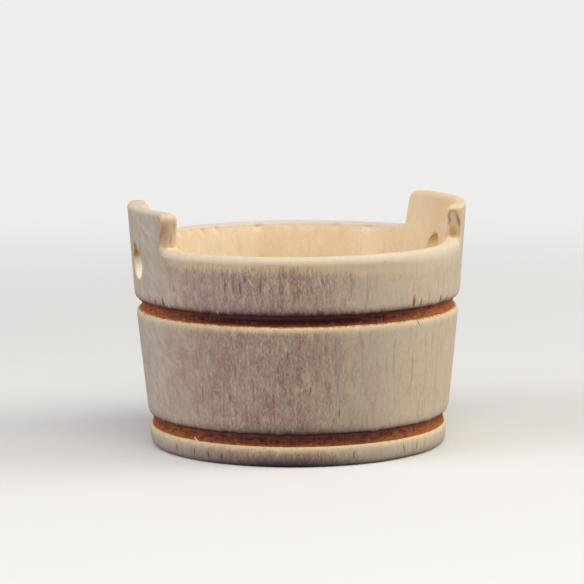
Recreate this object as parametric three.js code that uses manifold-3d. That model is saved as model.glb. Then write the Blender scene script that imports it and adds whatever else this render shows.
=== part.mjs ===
// A small turned wooden washtub with two upright ears, two dark bands and a let-in bottom.
// Millimetres, +Z up. The origin is the middle of the standing face, and both ears lie along X.
import * as THREE from 'three';
import { mergeVertices } from 'three/addons/utils/BufferGeometryUtils.js';
import Module from 'manifold-3d';

// Driving dimensions of the turned wall, from the foot upwards. A flare is how far a band widens towards its top,
// and an inset is how far a band's edge stands back from the one above it.
const footHeight = 2.0;
const footInset = 0.17;
const footEaseAcross = 0.6;
const footEaseUp = 1.3;
const footTopEase = 0.25;
const lowerGrooveWidth = 1.2;
const lowerGrooveDepth = 0.55;
const middleBandHeight = 10.42;
const middleBandInset = 0.1;
const middleBandFlare = 1.08;
const middleEaseAcross = 0.38;
const middleEaseUp = 1.1;
const middleTopEaseDown = 0.95;
const middleTopEaseAcross = 0.4;
const upperGrooveWidth = 1.08;
const upperGrooveDepth = 0.85;
const upperBandFlare = 0.4;
const upperEaseAcross = 0.58;
const upperEaseUp = 1.4;
const rimHeight = 20.23;
const rimRadius = 16.45;
const rimWall = 1.5;
const rimOuterDrop = 0.9;
const rimInnerDrop = 0.4;
const innerSlope = 0.12;

// Driving dimensions of the two ears. A saw led by hand has cut them, so each has its own sides: how far the front
// side (towards -Y) and the rear side (towards +Y) stand from the middle, and how far their top corners are eased.
const earRise = 3.65;
const rightEarFrontRoot = 7.05;
const rightEarFrontTop = 7.8;
const rightEarFrontEase = 0.8;
const rightEarRear = 7.65;
const rightEarRearEase = 0.9;
const leftEarFrontRoot = 7.45;
const leftEarFrontTop = 8.25;
const leftEarFrontEase = 1.05;
const leftEarRear = 7.05;
const leftEarRearEase = 1.9;
const earRootEase = 0.5;
const earOuterEase = 0.4;
const earInnerEase = 0.5;

// Driving dimensions of the cord hole that is drilled through both ears.
const holeDiameter = 2.8;
const holeDrop = 1.75;
const holeOffset = 0.6;
const holeTurn = THREE.MathUtils.degToRad(9.2);
const holeTilt = THREE.MathUtils.degToRad(-0.3);

// Driving dimensions of the let-in bottom and of the two bands.
const bottomThickness = 1.6;
const bottomRecess = 0.3;
const bottomLedge = 0.5;
const bottomEdgeEase = 0.15;
const bottomClearance = 0.06;
const hoopThickness = 0.3;
const hoopClearance = 0.05;
const hoopJointGap = 0.3;

// How finely round faces are divided, and how far a cutting tool stands past the face that it leaves whole.
const roundSegments = 80;
const easeSteps = 4;
const crownSteps = 8;
const holeSegments = 24;
const cutMargin = 0.05;

// Heights and radii worked out from the driving dimensions.
const lowerGrooveTop = footHeight + lowerGrooveWidth;
const middleBandTop = lowerGrooveTop + middleBandHeight;
const upperGrooveTop = middleBandTop + upperGrooveWidth;
const earTop = rimHeight + earRise;
const upperBandFootRadius = rimRadius - upperBandFlare;
const middleBandTopRadius = upperBandFootRadius - middleBandInset;
const middleBandFootRadius = middleBandTopRadius - middleBandFlare;
const footRadius = middleBandFootRadius - footInset;
const upperSlope = upperBandFlare / (rimHeight - upperGrooveTop);
const lowerFloorRadius = footRadius - lowerGrooveDepth;
const upperFloorRadius = middleBandTopRadius - upperGrooveDepth;
const outerRadiusAt = (height) => rimRadius + upperSlope * (height - rimHeight);
const innerRadiusAt = (height) => rimRadius - rimWall + innerSlope * (height - rimHeight);
const ledgeHeight = bottomRecess + bottomThickness;
const ledgeRadius = innerRadiusAt(ledgeHeight);
const rebateRadius = ledgeRadius + bottomLedge;

const wasm = await Module();
wasm.setup();

// Draws a path through a list of corners. A corner is [x, y] where it is sharp, and [x, y, before, after]
// where a curve eases it, leaving one side that far before the corner and joining the next side that far after it.
function drawCorners(path, corners) {
  const points = corners.map(([x, y]) => new THREE.Vector2(x, y));
  const towards = (from, to, distance) => from.clone().add(to.clone().sub(from).setLength(distance));
  path.moveTo(points[0].x, points[0].y);
  for (let index = 1; index < points.length; index += 1) {
    const [, , before = 0, after = 0] = corners[index];
    const corner = points[index];
    const start = towards(corner, points[index - 1], before);
    path.lineTo(start.x, start.y);
    if (before === 0) continue;
    const finish = towards(corner, points[(index + 1) % points.length], after);
    path.quadraticCurveTo(corner.x, corner.y, finish.x, finish.y);
  }
  return path;
}

// Turns an outline of (radius, height) corners around the Z axis. An outline clear of the axis is closed into a ring.
function turned(corners) {
  const points = drawCorners(new THREE.Path(), corners).getPoints(easeSteps);
  if (points[0].x > 0) points.push(points[0].clone());
  return new THREE.LatheGeometry(points, roundSegments).rotateX(Math.PI / 2);
}

// Pushes an outline of (y, z) corners along X, as far to one side of the middle as to the other.
function pushedAlongX(corners, length) {
  const shape = drawCorners(new THREE.Shape(), corners);
  const options = { depth: length, bevelEnabled: false, curveSegments: easeSteps };
  const axes = [[0, 1, 0], [0, 0, 1], [1, 0, 0]].map((axis) => new THREE.Vector3(...axis));
  const geometry = new THREE.ExtrudeGeometry(shape, options).translate(0, 0, -length / 2);
  return geometry.applyMatrix4(new THREE.Matrix4().makeBasis(...axes));
}

// Hands a closed geometry over as a solid for joining and cutting, without the flat triangles at a turned pole.
function solidOf(geometry) {
  geometry.deleteAttribute('normal');
  geometry.deleteAttribute('uv');
  const merged = mergeVertices(geometry);
  const triangles = [];
  for (let first = 0; first < merged.index.count; first += 3) {
    const corners = [0, 1, 2].map((step) => merged.index.getX(first + step));
    if (new Set(corners).size === 3) triangles.push(...corners);
  }
  const vertProperties = new Float32Array(merged.attributes.position.array);
  const triVerts = new Uint32Array(triangles);
  return new wasm.Manifold(new wasm.Mesh({ numProp: 3, vertProperties, triVerts }));
}

// Turns a solid back into a geometry.
function geometryOf(solid) {
  const { vertProperties, triVerts } = solid.getMesh();
  const geometry = new THREE.BufferGeometry();
  geometry.setAttribute('position', new THREE.BufferAttribute(vertProperties, 3));
  geometry.setIndex(new THREE.BufferAttribute(triVerts, 1));
  geometry.computeVertexNormals();
  return geometry;
}

// The ring as it leaves the lathe, ear high all the way round: foot, grooves, bands, rounded top and bottom ledge.
function turnedRing() {
  return solidOf(turned([
    [rebateRadius, 0],
    [footRadius, 0, footEaseAcross, footEaseUp],
    [footRadius, footHeight, footTopEase, footTopEase],
    [lowerFloorRadius, footHeight],
    [lowerFloorRadius, lowerGrooveTop],
    [middleBandFootRadius, lowerGrooveTop, middleEaseAcross, middleEaseUp],
    [middleBandTopRadius, middleBandTop, middleTopEaseDown, middleTopEaseAcross],
    [upperFloorRadius, middleBandTop],
    [upperFloorRadius, upperGrooveTop],
    [upperBandFootRadius, upperGrooveTop, upperEaseAcross, upperEaseUp],
    [outerRadiusAt(earTop), earTop, earOuterEase, earOuterEase],
    [innerRadiusAt(earTop), earTop, earInnerEase, earInnerEase],
    [ledgeRadius, ledgeHeight],
    [rebateRadius, ledgeHeight],
  ]));
}

// All that lies under the rim. Its top falls from the rim's crest with the square of the distance across the wall,
// further towards the outside than towards the inside.
function underRim() {
  const halfWall = rimWall / 2;
  const crestRadius = rimRadius - halfWall;
  const reach = rimWall;
  const crown = [];
  for (let step = 0; step <= crownSteps; step += 1) {
    const across = reach * (1 - 2 * step / crownSteps);
    const drop = across > 0 ? rimOuterDrop : rimInnerDrop;
    crown.push([crestRadius + across, rimHeight - drop * (across / halfWall) ** 2]);
  }
  const [, shoulder] = crown[crownSteps];
  return solidOf(turned([[0, -rimHeight], [crestRadius + reach, -rimHeight], ...crown, [0, shoulder]]));
}

// The slab in which one ear stands, on the side that the sign of X gives, eased at its corners and at its root.
function earSlab(side, frontRoot, frontTop, frontEase, rear, rearEase) {
  const root = rimHeight - rimInnerDrop;
  const top = earTop + cutMargin;
  const skirt = rimOuterDrop + earRootEase;
  const reach = rimRadius * 2;
  const slab = pushedAlongX([
    [-frontRoot - skirt, root - skirt],
    [rear + skirt, root - skirt],
    [rear, root, earRootEase, earRootEase],
    [rear, top, rearEase, rearEase],
    [-frontTop, top, frontEase, frontEase],
    [-frontRoot, root, earRootEase, earRootEase],
  ], reach);
  return solidOf(slab.translate(side * reach / 2, 0, 0));
}

// One drill pass across the tub, through both ears, beside the axis and turned and tilted a little by hand.
function cordHole() {
  const drill = new THREE.CylinderGeometry(holeDiameter / 2, holeDiameter / 2, rimRadius * 3, holeSegments);
  drill.rotateZ(Math.PI / 2);
  drill.rotateY(holeTilt);
  drill.translate(0, holeOffset, rimHeight - holeDrop);
  drill.rotateZ(holeTurn);
  return solidOf(drill);
}

// A thin strip bent round into a groove. Its two ends meet at the back, with a hair of space between them.
function hoop(floorRadius, grooveWidth) {
  const inner = floorRadius + hoopClearance;
  const outer = inner + hoopThickness;
  const width = grooveWidth - hoopClearance * 2;
  const ring = solidOf(turned([[inner, 0], [outer, 0], [outer, width], [inner, width]]));
  const joint = new THREE.BoxGeometry(hoopJointGap, outer, grooveWidth * 3).translate(0, outer, 0);
  return geometryOf(ring.subtract(solidOf(joint)));
}

// The round bottom, eased at its edge, that rests up against the ledge from below.
function bottomDisc() {
  const radius = rebateRadius - bottomClearance;
  return turned([
    [0, 0],
    [radius, 0, bottomEdgeEase, bottomEdgeEase],
    [radius, bottomThickness],
    [0, bottomThickness],
  ]);
}

const paleWood = { color: 0xc9b08f, roughness: 0.8, metalness: 0 };
const bottomWood = { color: 0xd3b78f, roughness: 0.85, metalness: 0 };
const darkWood = { color: 0x5f3a22, roughness: 0.7, metalness: 0 };

// Makes one named piece, standing at its height on the axis of the tub.
function piece(name, geometry, look, height = 0) {
  const mesh = new THREE.Mesh(geometry, new THREE.MeshStandardMaterial(look));
  mesh.name = name;
  mesh.position.z = height;
  return mesh;
}

const rightEar = earSlab(1, rightEarFrontRoot, rightEarFrontTop, rightEarFrontEase, rightEarRear, rightEarRearEase);
const leftEar = earSlab(-1, leftEarFrontRoot, leftEarFrontTop, leftEarFrontEase, leftEarRear, leftEarRearEase);
const sawnTop = underRim().add(rightEar).add(leftEar);
const wall = turnedRing().intersect(sawnTop).subtract(cordHole());

const washtub = new THREE.Group();
washtub.add(
  piece('tub_wall', geometryOf(wall), paleWood),
  piece('bottom_disc', bottomDisc(), bottomWood, bottomRecess),
  piece('lower_hoop', hoop(lowerFloorRadius, lowerGrooveWidth), darkWood, footHeight + hoopClearance),
  piece('upper_hoop', hoop(upperFloorRadius, upperGrooveWidth), darkWood, middleBandTop + hoopClearance),
);

export default washtub;
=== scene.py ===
# %% [markdown]
# # A small turned washtub
#
# The tub is one block of pale, straight-grained wood. A lathe has hollowed it and cut two grooves round
# it, two ears have been left standing on the rim, and a cord hole has been drilled through both ears.
# Brown strips lie in the grooves, and a round bottom is let in from below. The imported model holds these
# four solids in plain form. This lesson gives each of them the finer shape and the finish of worked wood.
#
# The frame is loaded first. Its box is kept.

# %% The imported frame
import math

import bpy
import numpy as np
from mathutils import Matrix, Vector


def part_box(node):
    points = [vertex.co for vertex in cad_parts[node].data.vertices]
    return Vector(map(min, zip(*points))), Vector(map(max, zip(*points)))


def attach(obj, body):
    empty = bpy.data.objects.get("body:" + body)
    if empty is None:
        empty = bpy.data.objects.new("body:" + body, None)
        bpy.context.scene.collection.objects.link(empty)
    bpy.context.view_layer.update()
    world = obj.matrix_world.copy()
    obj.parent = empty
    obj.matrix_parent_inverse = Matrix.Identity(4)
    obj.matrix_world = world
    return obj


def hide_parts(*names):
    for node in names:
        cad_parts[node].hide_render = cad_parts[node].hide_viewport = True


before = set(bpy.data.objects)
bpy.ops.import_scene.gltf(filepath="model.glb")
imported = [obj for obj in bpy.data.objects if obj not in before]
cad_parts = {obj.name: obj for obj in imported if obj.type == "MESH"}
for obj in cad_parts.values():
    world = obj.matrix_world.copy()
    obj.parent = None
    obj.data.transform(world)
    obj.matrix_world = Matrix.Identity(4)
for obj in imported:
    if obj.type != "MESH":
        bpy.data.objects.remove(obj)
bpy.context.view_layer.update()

# %% [markdown]
# ## Sizes
#
# Everything is worked out in millimetres, and turned into metres only when a mesh is made. What the frame
# can tell is measured from it: how high the ears stand, and where the two strips lie. The other driving
# sizes are the ones that the solids were drawn from. A flare is how far a band widens towards its top, an
# inset is how far its edge stands back from the band above, and an ease is how far a rounding reaches from
# its corner.

# %% Driving sizes
MM = 0.001


def box_mm(node):
    """Lowest and highest corner of a CAD node, in millimetres."""
    return [np.array(corner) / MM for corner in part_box(node)]


ear_top = box_mm("tub_wall")[1][2]
hoop_thickness, hoop_clearance, hoop_joint_gap = 0.3, 0.05, 0.3
rim_height, rim_radius, rim_wall = 20.23, 16.45, 1.5
upper_flare, middle_inset, middle_flare, foot_inset = 0.4, 0.1, 1.08, 0.17
inner_slope = 0.12
bottom_thickness, bottom_recess, bottom_ledge, bottom_clearance = 1.6, 0.3, 0.5, 0.06
hole_radius, hole_drop, hole_offset = 1.4, 1.75, 0.6
hole_turn, hole_tilt = math.radians(9.2), math.radians(-0.3)

# %% Sizes that follow from them
upper_foot_radius = rim_radius - upper_flare
middle_top_radius = upper_foot_radius - middle_inset
middle_foot_radius = middle_top_radius - middle_flare
foot_radius = middle_foot_radius - foot_inset


def groove_of(node):
    """Bottom, top and floor radius of the groove that a strip lies in, and the radius of the strip's
    face."""
    low, high = box_mm(node)
    floor = high[0] - hoop_thickness - hoop_clearance
    return low[2] - hoop_clearance, high[2] + hoop_clearance, floor, high[0]


lower_bottom, lower_top, lower_floor, lower_face = groove_of("lower_hoop")
upper_bottom, upper_top, upper_floor, upper_face = groove_of("upper_hoop")
upper_slope = upper_flare / (rim_height - upper_top)


def outer_radius(height):
    """Radius of the wall's outside from the upper band upwards: a straight flare through the rim."""
    return rim_radius + upper_slope * (height - rim_height)


def inner_radius(height):
    """Radius of the wall's inside: a straight flare, one wall thickness inside the rim."""
    return rim_radius - rim_wall + inner_slope * (height - rim_height)


ledge_height = bottom_recess + bottom_thickness
ledge_radius = inner_radius(ledge_height)
rebate_radius = ledge_radius + bottom_ledge
groove_ends = [round(float(v), 2) for v in (lower_bottom, lower_top, upper_bottom, upper_top)]
print("grooves from and to", groove_ends, "mm, ears up to", round(float(ear_top), 2), "mm")

# %% [markdown]
# ## Camera
#
# The camera stands about a quarter of a metre in front of the tub and a little to its left, and looks down
# by less than eight degrees. Its place was found by matching the rims, grooves and foot. A long lens goes
# with that distance. The axes are worked out one after the other: the level view, its swing, its tilt and
# its small roll.

# %% Camera
camera_azimuth = math.radians(-11.0)
camera_distance, camera_height = 276.4 * MM, 52.58 * MM
camera_swing, camera_tilt, camera_roll = -0.00192, 0.13574, -0.00785
sensor_width, picture_width, focal_pixels = 36.0, 584, 2817.8

level_right = Vector((math.cos(camera_azimuth), math.sin(camera_azimuth), 0))
level_ahead = Vector((-math.sin(camera_azimuth), math.cos(camera_azimuth), 0))
right = math.cos(camera_swing) * level_right - math.sin(camera_swing) * level_ahead
ahead = math.sin(camera_swing) * level_right + math.cos(camera_swing) * level_ahead
view_ahead = math.cos(camera_tilt) * ahead - math.sin(camera_tilt) * Vector((0, 0, 1))
view_up = math.sin(camera_tilt) * ahead + math.cos(camera_tilt) * Vector((0, 0, 1))
axis_right = math.cos(camera_roll) * right + math.sin(camera_roll) * view_up
axis_up = math.cos(camera_roll) * view_up - math.sin(camera_roll) * right

camera = bpy.data.objects.new("camera", bpy.data.cameras.new("camera"))
camera.data.lens = sensor_width * focal_pixels / picture_width
camera.data.sensor_width = sensor_width
camera.data.clip_start, camera.data.clip_end = 0.01, 50
place = -camera_distance * level_ahead + Vector((0, 0, camera_height))
camera_axes = Matrix((axis_right, axis_up, -view_ahead)).transposed()
camera.matrix_world = Matrix.Translation(place) @ camera_axes.to_4x4()
bpy.context.scene.collection.objects.link(camera)
bpy.context.scene.camera = camera
print(f"lens {camera.data.lens:.1f} mm at {tuple(round(v, 4) for v in place)}")

# %% [markdown]
# ## Light and floor
#
# The tub is lit as on a small copy table: one wide soft light in front and above, a stronger soft light on
# the right, and a weaker and slightly bluer one on the left. The floor looks pale to the camera. To light
# that has already bounced it is darker, so that the floor doesn't wash out the shade on the lower half of
# the wall. Far away it shows its own pale tone, which hides where it ends.

# %% Helpers for node trees
def colour(red, green, blue):
    """A colour given as 0-255 display values, turned into the linear values that a shader needs."""
    display = np.array([red, green, blue]) / 255
    linear = np.where(display <= 0.04045, display / 12.92, ((display + 0.055) / 1.055) ** 2.4)
    return (*linear.tolist(), 1.0)


def add_node(tree, kind, settings=None, **sockets):
    """Adds a node, sets its properties, and links or sets its sockets by name. Spaces are written as
    underscores, and i0, i1 and so on stand for sockets by number."""
    made = tree.nodes.new(kind)
    for name, value in (settings or {}).items():
        setattr(made, name, value)
    for name, value in sockets.items():
        numbered = name[0] == "i" and name[1:].isdigit()
        socket = made.inputs[int(name[1:]) if numbered else name.replace("_", " ")]
        if isinstance(value, bpy.types.NodeSocket):
            tree.links.new(value, socket)
        else:
            socket.default_value = value
    return made


def blend_colours(tree, amount, first, second):
    """Mixes two colours: first where amount is 0, second where it is 1."""
    return add_node(tree, "ShaderNodeMix", {"data_type": "RGBA"}, i0=amount, i6=first, i7=second).outputs[2]


def reckon(tree, operation, first, second=0.0):
    """One step of arithmetic on values."""
    return add_node(tree, "ShaderNodeMath", {"operation": operation}, i0=first, i1=second).outputs[0]


def times(tree, first, second):
    """The product of two values."""
    return reckon(tree, "MULTIPLY", first, second)


def plus(tree, first, second):
    """The sum of two values."""
    return reckon(tree, "ADD", first, second)


def minus(tree, first, second):
    """The first value less the second."""
    return reckon(tree, "SUBTRACT", first, second)


def reckon_vector(tree, operation, *operands):
    """One step of arithmetic on vectors. A length or a dot product comes out as a value."""
    sockets = {f"i{number}": operand for number, operand in enumerate(operands)}
    made = add_node(tree, "ShaderNodeVectorMath", {"operation": operation}, **sockets)
    return made.outputs["Value" if operation in ("LENGTH", "DOT_PRODUCT") else "Vector"]


def between(tree, value, low, high):
    """0 where value is under low, 1 where it is over high, and a smooth rise from one to the other."""
    ramp = {"interpolation_type": "SMOOTHSTEP"}
    return add_node(tree, "ShaderNodeMapRange", ramp, Value=value, From_Min=low, From_Max=high).outputs[0]


def between_mm(tree, value, low, high):
    """The same smooth rise, for a value in metres and ends given in millimetres."""
    return between(tree, value, low * MM, high * MM)


def rescaled(tree, value, given, wanted):
    """Takes a value from the given range to the wanted one, in proportion, and no further than its
    ends."""
    ends = {"From_Min": given[0], "From_Max": given[1], "To_Min": wanted[0], "To_Max": wanted[1]}
    return add_node(tree, "ShaderNodeMapRange", Value=value, **ends).outputs[0]

# %% World and lamps
def seen_directly(tree):
    """1 for a ray from the camera, also by way of a gloss or of something clear, and 0 for light that
    bounces on."""
    rays = add_node(tree, "ShaderNodeLightPath").outputs
    straight = reckon(tree, "MAXIMUM", rays["Is Camera Ray"], rays["Is Glossy Ray"])
    return reckon(tree, "MAXIMUM", straight, rays["Is Transmission Ray"])


def mixed_shaders(tree, amount, first, second):
    """The first shader where amount is 0 and the second where it is 1."""
    shaders = {"i1": first.outputs[0], "i2": second.outputs[0]}
    return add_node(tree, "ShaderNodeMixShader", i0=amount, **shaders).outputs[0]


world = bpy.data.worlds.new("studio")
world.use_nodes = True
bpy.context.scene.world = world
bpy.context.scene.view_settings.view_transform = "Standard"
sky = world.node_tree
sky.nodes.clear()
dim_room = add_node(sky, "ShaderNodeBackground", Color=colour(240, 237, 236), Strength=0.36)
pale_room = add_node(sky, "ShaderNodeBackground", Color=colour(240, 240, 238), Strength=1.0)
add_node(sky, "ShaderNodeOutputWorld", Surface=mixed_shaders(sky, seen_directly(sky), dim_room, pale_room))
lamp_aim = Vector((0, 0, 12 * MM))


def soft_lamp(name, place, size, power, tint):
    """A square area lamp at place, in metres, that looks at the middle of the tub."""
    lamp = bpy.data.objects.new(name, bpy.data.lights.new(name, "AREA"))
    lamp.data.size, lamp.data.energy, lamp.data.color = size, power, tint
    lamp.location = place
    lamp.rotation_euler = (lamp_aim - Vector(place)).to_track_quat("-Z", "Y").to_euler()
    bpy.context.scene.collection.objects.link(lamp)


soft_lamp("overhead_lamp", (0.04, -0.23, 0.31), 0.30, 0.58, (1.0, 0.97, 0.92))
soft_lamp("right_lamp", (0.36, -0.09, 0.19), 0.28, 1.09, (1.0, 0.97, 0.93))
soft_lamp("left_lamp", (-0.35, -0.10, 0.20), 0.28, 0.81, (0.97, 0.97, 1.04))

# %% Floor
floor_reach, near_ring, far_ring = 6.0, 0.05, 0.22
pale_floor, dim_floor = colour(238, 238, 236), colour(60, 57, 70)
floor_corners = [(x * floor_reach, y * floor_reach, 0) for x, y in ((-1, -1), (1, -1), (1, 1), (-1, 1))]
floor_mesh = bpy.data.meshes.new("floor")
floor_mesh.from_pydata(floor_corners, [], [(0, 1, 2, 3)])
floor = bpy.data.objects.new("floor", floor_mesh)
bpy.context.scene.collection.objects.link(floor)
floor_look = bpy.data.materials.new("pale_floor")
floor_look.use_nodes = True
tree = floor_look.node_tree
tree.nodes.clear()
seen = seen_directly(tree)
matt = add_node(tree, "ShaderNodeBsdfDiffuse", Color=blend_colours(tree, seen, dim_floor, pale_floor))
glow = add_node(tree, "ShaderNodeEmission", Color=pale_floor, Strength=1.0)
from_middle = reckon_vector(tree, "LENGTH", add_node(tree, "ShaderNodeTexCoord").outputs["Object"])
far_off = times(tree, between(tree, from_middle, near_ring, far_ring), seen)
add_node(tree, "ShaderNodeOutputMaterial", Surface=mixed_shaders(tree, far_off, matt, glow))
floor_mesh.materials.append(floor_look)

# %% [markdown]
# ## Outlines
#
# A turned piece is an outline carried round an axis, so the first tool is a way to write an outline: a
# list of corners, each sharp or eased by a curve. A Bevel modifier could round the corners afterwards, but
# here each has a rounding of its own that isn't the same on both sides. Straight stretches are divided,
# because fibres and nicks need points to move.

# %% Eased outlines
def eased_outline(corners, steps):
    """Points along an outline of (across, up) corners. A corner with two more numbers is eased: the
    outline leaves one side the first distance before the corner and joins the next side the second
    distance after it, on the curve (1-t)^2 start + 2t(1-t) corner + t^2 finish."""
    marks = np.array([corner[:2] for corner in corners], float)
    t = np.linspace(0, 1, steps)[:, None]
    parts = []
    for index, corner in enumerate(corners):
        here, eases = marks[index], corner[2:]
        if eases:
            back, on = marks[index - 1] - here, marks[(index + 1) % len(marks)] - here
            start = here + eases[0] * back / np.linalg.norm(back)
            finish = here + eases[1] * on / np.linalg.norm(on)
            parts.append((1 - t) ** 2 * start + 2 * t * (1 - t) * here + t**2 * finish)
        else:
            parts.append(here[None])
    return np.concatenate(parts)


def divided(points, longest):
    """The same outline with each straight stretch cut into equal parts no longer than longest."""
    spans = np.linalg.norm(np.diff(points, axis=0), axis=1)
    counts = np.maximum(1, np.ceil(spans / longest)).astype(int)
    parts = [a + (b - a) * np.arange(n)[:, None] / n for a, b, n in zip(points[:-1], points[1:], counts)]
    return np.concatenate(parts + [points[-1:]])


def smooth(value):
    """0 at 0 and below, 1 at 1 and above, with a smooth rise: 3v^2 - 2v^3."""
    v = np.clip(value, 0, 1)
    return v * v * (3 - 2 * v)


foot_ease, foot_shoulder, foot_lip = (0.7, 1.35), 0.5, 0.22
middle_ease, middle_shoulder, middle_lip = (0.34, 0.9), 0.95, 0.40
upper_hollow_start, upper_hollow_end = 0.38, 0.75
ease_steps, longest_outside, longest_inside = 8, 0.42, 1.0
outside_below = divided(eased_outline([
    (rebate_radius, 0),
    (foot_radius, 0, *foot_ease),
    (foot_radius, lower_bottom, foot_shoulder, foot_lip),
    (lower_floor, lower_bottom),
    (lower_floor, lower_top),
    (middle_foot_radius, lower_top, *middle_ease),
    (middle_top_radius, upper_bottom, middle_shoulder, middle_lip),
    (upper_floor, upper_bottom),
    (upper_floor, upper_top),
    (upper_foot_radius, upper_top, upper_hollow_start, upper_hollow_end),
    (rim_radius, rim_height),
], ease_steps)[:-1], longest_outside)
sheet_foot = outside_below[-1, 1]
inside_below = divided(np.array([
    (inner_radius(sheet_foot), sheet_foot),
    (ledge_radius, ledge_height),
    (rebate_radius, ledge_height),
    (rebate_radius, 0),
]), longest_inside)[1:-1]
print(len(outside_below), "rows outside and", len(inside_below), "inside, up to", round(sheet_foot, 2), "mm")

# %% [markdown]
# ## The wall's free edge
#
# A saw has cut the rim down between the ears, so the top of the wall is one long edge: over an ear, round
# its corner, down its side, round the hollow at its root, along the rim and up the next ear. Cutting the
# ears out of a ring with a Boolean would leave ragged triangles and hard edges. Here the edge itself is
# the path, one quarter of the tub at a time. The sheets of the wall hang from it, and a rounded edge
# profile is carried along it.
#
# The saw was led by hand. The sides of the ears that face the front slope in towards their roots, and each
# quarter of the edge has its own corner and its own small rise of the rim beside the ear.

# %% One quarter of the free edge
ear_reach = 12.5
path_columns, far_columns = 100, 62
path_ease_steps, finest_step = 40, 0.05
root_run_up, run_up_ease, root_set_in = 2.4, 1.2, 1.0


def free_edge(half_root, half_top, corner_ease, root_rise, root_ease):
    """A quarter of the edge, from the middle of an ear to the middle of the rim, as columns of values: the
    distance from the ear's middle plane, the height, the outward direction (across, up), the share of the
    angle left to the middle of the rim, and the distance at which the column stands on the plain wall
    below. The ear is half_root wide at its foot and half_top at its top, and the rim climbs by root_rise
    before it meets the ear. Columns that end on the ear stand inside its root, so that they meet its side
    from within."""
    corner = np.array([half_root, rim_height + root_rise])
    root = half_root + root_run_up
    line = divided(eased_outline([
        (0, ear_top),
        (half_top, ear_top, corner_ease, corner_ease),
        (*corner, root_ease, root_ease),
        (root, rim_height, run_up_ease, run_up_ease),
        (ear_reach, rim_height),
    ], path_ease_steps), finest_step)
    run = np.concatenate([[0], np.cumsum(np.linalg.norm(np.diff(line, axis=0), axis=1))])
    even = np.linspace(0, run[-1], path_columns)
    across, up = (np.interp(even, run, line[:, k]) for k in (0, 1))
    heading = np.stack([np.gradient(across), np.gradient(up)])
    heading /= np.linalg.norm(heading, axis=0)
    corner_run = run[np.argmin(np.linalg.norm(line - corner, axis=1))]
    root_run = run[np.nonzero(line[:, 0] < root)[0][-1]]
    stand = np.interp(even, [0, corner_run, root_run], [0, half_root - root_set_in, root])
    stand = np.where(even < root_run, stand, across)
    far = np.ones(far_columns)
    return {
        "across": np.concatenate([across, far * ear_reach]),
        "up": np.concatenate([up, far * rim_height]),
        "out_across": np.concatenate([-heading[1], far * 0]),
        "out_up": np.concatenate([heading[0], far]),
        "share": np.concatenate([across * 0, np.arange(1, far_columns + 1) / far_columns]),
        "stand": np.concatenate([stand, far * ear_reach]),
    }

# %% All four quarters
quarters = (
    (1, 1, {"half_root": 7.95, "half_top": 7.82, "corner_ease": 0.9, "root_rise": 0.12, "root_ease": 0.3}),
    (-1, 1, {"half_root": 7.05, "half_top": 7.05, "corner_ease": 1.9, "root_rise": 0.12, "root_ease": 0.3}),
    (-1, -1, {"half_root": 7.45, "half_top": 8.25, "corner_ease": 1.05, "root_rise": 0.2, "root_ease": 0.09}),
    (1, -1, {"half_root": 7.05, "half_top": 7.80, "corner_ease": 0.68, "root_rise": 0.36, "root_ease": 0.09}),
)
parts = []
for index, (ear, side, sizes) in enumerate(quarters):
    part = free_edge(**sizes)
    part["ear"], part["side"] = np.full(len(part["up"]), ear), np.full(len(part["up"]), side)
    parts.append({k: (v[::-1][:-1] if index % 2 else v[:-1]) for k, v in part.items()})
edge = {k: np.concatenate([part[k] for part in parts])[:, None] for k in parts[0]}
columns = len(edge["up"])
print(columns, "columns round the tub")

# %% [markdown]
# ## The sheets of the wall and the cord holes
#
# Between the plain turned part and the free edge the wall has two sheets, outside and inside. Their grid
# runs straight from the column's foot to the edge, with the last rows close together, so that the edge
# stays crisp. The rim is rounded over its whole thickness, the sawn sides of the ears are flat with small
# roundings, and the ears' tops lie between. One formula gives all three: no drop near the middle of the
# wall, then a quarter of an ellipse down to the face. The rim was sanded by hand, so the depth of its
# rounding wanders, and it is deepest on the right of the front.
#
# A cord hole is opened by pulling a block of grid lines onto a circle, so that the hole's rim is a loop of
# the grid and can be joined to the loop on the other sheet by a short tube. Inside the right ear the mouth
# is narrower and leans, as a blunt drill leaves it.

# %% Sheets
sheet_rows = 25
rim_zone, rim_zone_fade = 0.5, 1.0
near_rim = 1 - smooth((edge["up"] - rim_height - rim_zone) / rim_zone_fade)
side_share = np.abs(edge["out_across"])
rim_share, top_share = near_rim * (1 - side_share), (1 - near_rim) * (1 - side_share)


def along_edge(rim, side, top):
    """A size that changes along the free edge: one value on the rim, one on the ears' sides and one on
    their tops."""
    return rim * rim_share + side * side_share + top * top_share


knot_count = 72
mean_depth, depth_wander, depth_on_right = 0.74, 0.13, 0.42
knots = np.random.default_rng(9).uniform(-1, 1, knot_count)
knot_places = np.linspace(0, columns, knot_count + 1)
wander = np.interp(np.arange(columns), knot_places, np.append(knots, knots[0]))[:, None]
right_front = (edge["ear"] == 1) * (edge["side"] == -1) * (1 - edge["share"])
rim_depth = mean_depth + depth_wander * wander + depth_on_right * right_front
outer_round = {"reach": along_edge(1.0, 0.55, 0.5), "depth": along_edge(rim_depth, 0.30, 0.34)}
inner_round = {"reach": along_edge(0.8, 0.60, 0.60), "depth": along_edge(0.42, 0.24, 0.42)}
edge_lateral = edge["side"] * edge["across"]


def edge_point(drop):
    """(lateral, height) on the free edge, moved into the wood by drop, straight away from the edge."""
    return edge_lateral - edge["side"] * drop * edge["out_across"], edge["up"] - drop * edge["out_up"]


even_share, last_share = 0.95, 0.982
rise = np.concatenate([np.linspace(0, even_share, sheet_rows - 1)[1:], [last_share, 1]])[None]
stand_lateral = edge["side"] * edge["stand"]


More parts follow.
